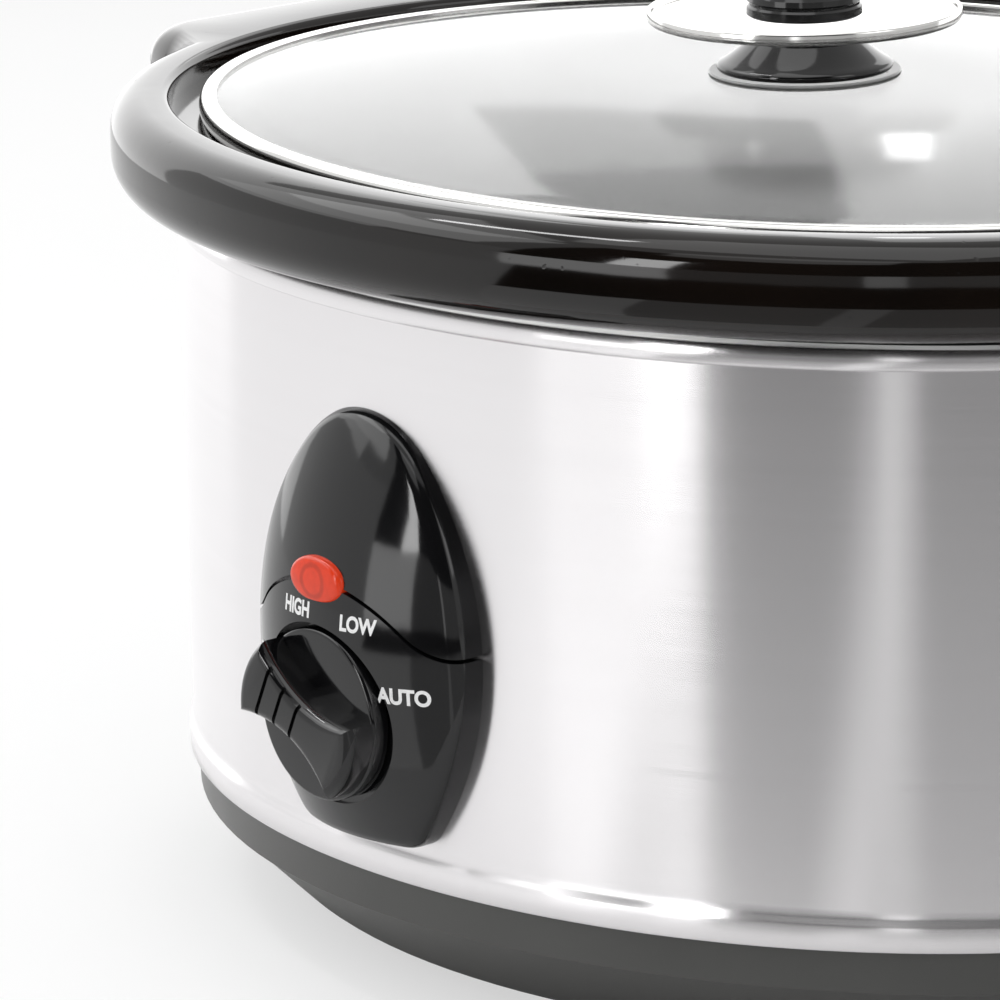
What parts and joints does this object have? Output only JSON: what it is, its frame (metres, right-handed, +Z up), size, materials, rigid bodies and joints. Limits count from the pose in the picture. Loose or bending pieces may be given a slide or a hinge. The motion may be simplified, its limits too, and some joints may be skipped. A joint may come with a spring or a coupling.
{
  "type": "slow cooker",
  "caption": "Oval slow cooker with a brushed steel body, lift-out glazed crock, glass lid with a guarded knob, and a selector knob with a lamp on a bulging panel.",
  "frame": {"origin": "on the worktop below the middle of the oval", "axes": "+X along the long axis, -Y towards the front with the controls, +Z up"},
  "size_m": [0.3336, 0.2655, 0.2062],
  "materials": {
    "shell_steel": "brushed round the oval",
    "well_metal": "plain sheet",
    "base_plastic": "satin moulding",
    "feet_rubber": "matt",
    "crock_glaze": "glossy black glaze",
    "lid_glass": "clear",
    "band_steel": "bright rolled steel",
    "gasket": "clear silicone",
    "knob_black": "glossy moulding",
    "fasteners": "zinc plated",
    "panel_black": "glossy moulding",
    "lens_red": "clear red moulding",
    "lamp_glass": "clear bulb",
    "selector_black": "glossy moulding",
    "switch_body": "plain moulding",
    "heater": "woven mica and glass tape",
    "insulation": "mineral fibre",
    "terminal_ceramic": "fired",
    "lead_cover": "silicone sleeve",
    "fuse_ceramic": "fired",
    "bushing_plastic": "plain moulding",
    "handle_black": "glossy moulding"
  },
  "bodies": {
    "base": {"outer_shell": "shell_steel", "heating_well": "well_metal", "base_pan": "base_plastic", "foot_front_left": "feet_rubber", "foot_front_right": "feet_rubber", "foot_rear_left": "feet_rubber", "foot_rear_right": "feet_rubber", "control_panel_upper": "panel_black", "control_panel_lower": "panel_black", "panel_screws": "fasteners", "indicator_lens": "lens_red", "indicator_lamp": "lamp_glass", "rotary_switch": "switch_body", "switch_screws": "fasteners", "heater_band": "heater", "insulation_wrap": "insulation", "heat_shield": "well_metal", "tie_stud": "fasteners", "tie_washer": "fasteners", "tie_nut": "fasteners", "terminal_block": "terminal_ceramic", "internal_leads": "lead_cover", "thermal_fuse": "fuse_ceramic", "cord_bushing": "bushing_plastic", "side_handle_left": "handle_black", "side_handle_right": "handle_black", "handle_screws": "fasteners"},
    "selector": {"selector_knob": "selector_black", "switch_shaft": "fasteners"},
    "crock": {"crock": "crock_glaze"},
    "lid": {"lid_glass": "lid_glass", "lid_rim_band": "band_steel", "lid_gasket": "gasket", "knob_foot": "knob_black", "knob_guard_disc": "band_steel", "lid_knob": "knob_black", "lid_washer": "fasteners", "lid_screw": "fasteners"}
  },
  "joints": [
    {"name": "crock_lift", "type": "slide", "parent": "base", "child": "crock", "axis": [0, 0, 1], "range_m": [0, 0.13]},
    {"name": "lid_lift", "type": "slide", "parent": "crock", "child": "lid", "axis": [0, 0, 1], "range_m": [0, 0.1]},
    {"name": "selector_turn", "type": "hinge", "parent": "base", "child": "selector", "pos_m": [0, -0.1258, 0.0634], "axis": [0, 1, 0], "range_deg": [0, 135]}
  ]
}
